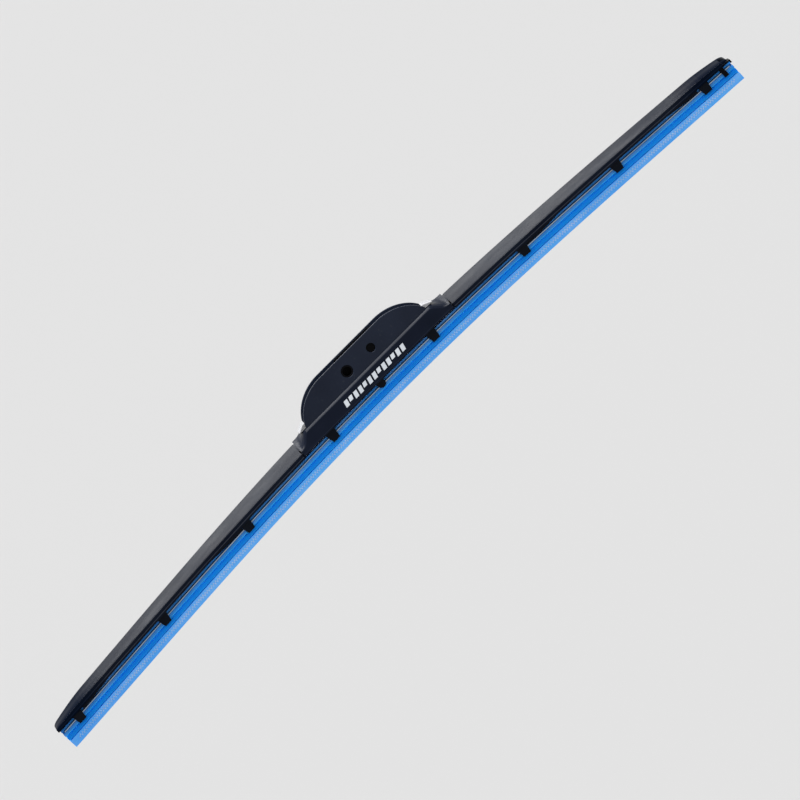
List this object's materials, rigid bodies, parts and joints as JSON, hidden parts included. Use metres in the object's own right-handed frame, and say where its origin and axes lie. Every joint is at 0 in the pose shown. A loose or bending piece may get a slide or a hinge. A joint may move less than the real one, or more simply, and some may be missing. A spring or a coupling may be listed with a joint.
{
  "type": "windscreen wiper blade",
  "caption": "Bowed wiper blade: jointed spoiler sections over rocking claw yokes, spring rails and a rubber wiping strip, with an arm bracket and hook adapter on top.",
  "frame": {"origin": "on the axis of the larger side-pin hole of the arm bracket, midway between the bracket's walls", "axes": "+X along the blade towards the end clip, +Y across the blade towards the spoiler's ridge side, +Z from the wiping lip towards the arm"},
  "size_m": [0.4844, 0.017, 0.047],
  "materials": {
    "black_plastic": "satin, fine moulded grain",
    "black_steel": "satin black paint on sheet steel",
    "black_nylon": "satin",
    "pale_nylon": "natural, slightly translucent",
    "bright_steel": "turned",
    "spring_steel": "rolled strip",
    "blue_rubber": "satin, slightly translucent"
  },
  "bodies": {
    "bridge": {"centre_bridge": "black_plastic", "arm_bracket": "black_steel", "adapter_liner": "pale_nylon", "centre_claw_holder": "black_steel", "bracket_rivet_left": "bright_steel", "bracket_rivet_right": "bright_steel", "left_hinge_pin": "bright_steel", "right_hinge_pin": "bright_steel", "wiper_rubber": "blue_rubber", "front_rail": "spring_steel", "rear_rail": "spring_steel"},
    "adapter": {"hook_adapter": "black_nylon"},
    "left_lever": {"left_cover": "black_plastic", "left_lever_frame": "black_steel", "left_hinge_bush": "pale_nylon", "left_yoke_pin": "bright_steel"},
    "right_lever": {"right_cover": "black_plastic", "right_lever_frame": "black_steel", "right_hinge_bush": "pale_nylon", "right_yoke_pin": "bright_steel", "end_clip": "black_nylon"},
    "left_yoke": {"left_yoke": "black_steel", "left_yoke_bush": "pale_nylon"},
    "right_yoke": {"right_yoke": "black_steel", "right_yoke_bush": "pale_nylon"}
  },
  "joints": [
    {"name": "left_lever_hinge", "type": "hinge", "parent": "bridge", "child": "left_lever", "pos_m": [-0.0405, 0, -0.0132], "axis": [0, 1, 0], "range_deg": [-3, 6], "stiffness_Nm_per_rad": 2.5, "deforming": ["wiper_rubber", "front_rail", "rear_rail"]},
    {"name": "right_lever_hinge", "type": "hinge", "parent": "bridge", "child": "right_lever", "pos_m": [0.0565, 0, -0.0132], "axis": [0, -1, 0], "range_deg": [-3, 6], "stiffness_Nm_per_rad": 2.5, "deforming": ["wiper_rubber", "front_rail", "rear_rail"]},
    {"name": "left_yoke_pivot", "type": "hinge", "parent": "left_lever", "child": "left_yoke", "pos_m": [-0.1232, 0, -0.01844], "axis": [0, 1, 0], "range_deg": [-0.2, 0.35]},
    {"name": "right_yoke_pivot", "type": "hinge", "parent": "right_lever", "child": "right_yoke", "pos_m": [0.1392, 0, -0.01844], "axis": [0, -1, 0], "range_deg": [-0.2, 0.35]},
    {"name": "adapter_pivot", "type": "hinge", "parent": "bridge", "child": "adapter", "pos_m": [0, 0, 0], "axis": [0, -1, 0], "range_deg": [-8, 75]}
  ],
  "couplings": [
    {"joint": "left_yoke_pivot", "follows": "left_lever_hinge", "ratio": 0.05},
    {"joint": "right_yoke_pivot", "follows": "right_lever_hinge", "ratio": 0.05}
  ]
}
